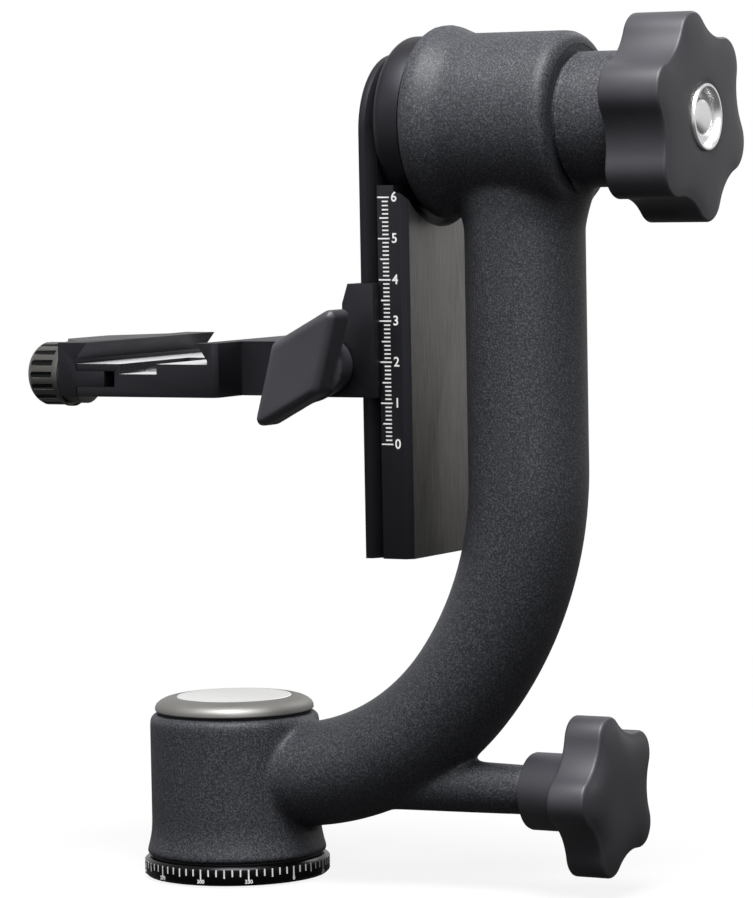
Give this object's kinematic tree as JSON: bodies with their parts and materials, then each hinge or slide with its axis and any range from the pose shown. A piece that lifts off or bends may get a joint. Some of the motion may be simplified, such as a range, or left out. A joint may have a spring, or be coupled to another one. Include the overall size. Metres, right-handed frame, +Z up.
{
  "type": "gimbal tripod head",
  "caption": "Side-mount gimbal tripod head: panning base, curved cast arm, swinging rail and a sliding platform with a dovetail plate clamp and lock knobs.",
  "frame": {"origin": "middle of the underside of the base ring, on the pan axis, where the tripod's plate touches", "axes": "+Z up along the pan axis, +X from the pan axis towards the lock knobs (along the tilt axis), -Y towards the wing knob"},
  "size_m": [0.1913, 0.0706, 0.2142],
  "materials": {
    "cast_black": "fine textured powder coat",
    "ring_black": "black anodised, gloss",
    "anodised_black": "black anodised, satin",
    "knob_plastic": "moulded, satin",
    "nickel": "satin",
    "bright_disc": "satin",
    "chrome": "polished",
    "steel": "plain",
    "brass": "plain",
    "white_plastic": "plain"
  },
  "bodies": {
    "base": {"base_ring": "ring_black", "base_screws": "steel", "thread_insert": "steel", "pan_spindle": "steel", "spindle_nut": "steel", "pan_glide_washer": "knob_plastic"},
    "arm": {"main_arm": "cast_black", "base_cap": "nickel", "cap_disc": "bright_disc", "pan_bearing_lower": "steel", "pan_bearing_upper": "steel", "tilt_bearing_left": "steel", "tilt_bearing_right": "steel"},
    "pan_brake": {"pan_brake_pad": "white_plastic"},
    "pan_lock": {"pan_lock_screw": "steel", "pan_lock_knob": "knob_plastic"},
    "swing": {"swing_arm": "anodised_black", "tilt_shaft": "steel", "tilt_shaft_screws": "steel", "tilt_glide_washer": "knob_plastic", "tilt_thrust_washer": "steel"},
    "tilt_lock": {"tilt_lock_knob": "knob_plastic", "tilt_knob_bush": "brass", "tilt_knob_cap": "chrome"},
    "platform": {"platform": "anodised_black", "rail_jaw_dowels": "steel", "clamp_spring": "steel"},
    "rail_jaw": {"rail_jaw": "anodised_black"},
    "wing_lock": {"wing_stud": "steel", "wing_lock_knob": "knob_plastic"},
    "clamp_jaw": {"clamp_jaw": "anodised_black", "clamp_guide_pins": "steel"},
    "clamp_lock": {"clamp_screw": "steel", "clamp_knob": "anodised_black"}
  },
  "joints": [
    {"name": "pan", "type": "hinge", "parent": "base", "child": "arm", "pos_m": [0, 0, 0], "axis": [0, 0, 1], "continuous": true},
    {"name": "pan_brake_press", "type": "slide", "parent": "arm", "child": "pan_brake", "axis": [-1, 0, 0], "range_m": [-0.0012, 0.0002]},
    {"name": "pan_lock_turn", "type": "hinge", "parent": "pan_brake", "child": "pan_lock", "pos_m": [0.09, 0, 0.0254], "axis": [-1, 0, 0], "range_deg": [-360, 60]},
    {"name": "tilt", "type": "hinge", "parent": "arm", "child": "swing", "pos_m": [0.06, 0, 0.1891], "axis": [1, 0, 0], "continuous": true},
    {"name": "tilt_lock_turn", "type": "hinge", "parent": "swing", "child": "tilt_lock", "pos_m": [0.12, 0, 0.1891], "axis": [-1, 0, 0], "range_deg": [-360, 0]},
    {"name": "platform_slide", "type": "slide", "parent": "swing", "child": "platform", "axis": [0, 0, 1], "range_m": [-0.037, 0.021]},
    {"name": "rail_jaw_release", "type": "slide", "parent": "platform", "child": "rail_jaw", "axis": [0, -1, 0], "range_m": [0, 0.00125]},
    {"name": "wing_turn", "type": "hinge", "parent": "rail_jaw", "child": "wing_lock", "pos_m": [0.042, -0.03, 0.1306], "axis": [0, -1, 0], "range_deg": [0, 360]},
    {"name": "clamp_open", "type": "slide", "parent": "platform", "child": "clamp_jaw", "axis": [-1, 0, 0], "range_m": [0, 0.004]},
    {"name": "clamp_turn", "type": "hinge", "parent": "clamp_jaw", "child": "clamp_lock", "pos_m": [-0.045, 0, 0.1267], "axis": [-1, 0, 0], "range_deg": [0, 1440]}
  ],
  "couplings": [
    {"joint": "pan_lock_turn", "follows": "pan_brake_press", "rad_per_m": 5236},
    {"joint": "wing_turn", "follows": "rail_jaw_release", "rad_per_m": 5026.5},
    {"joint": "clamp_turn", "follows": "clamp_open", "rad_per_m": 6283.2}
  ]
}
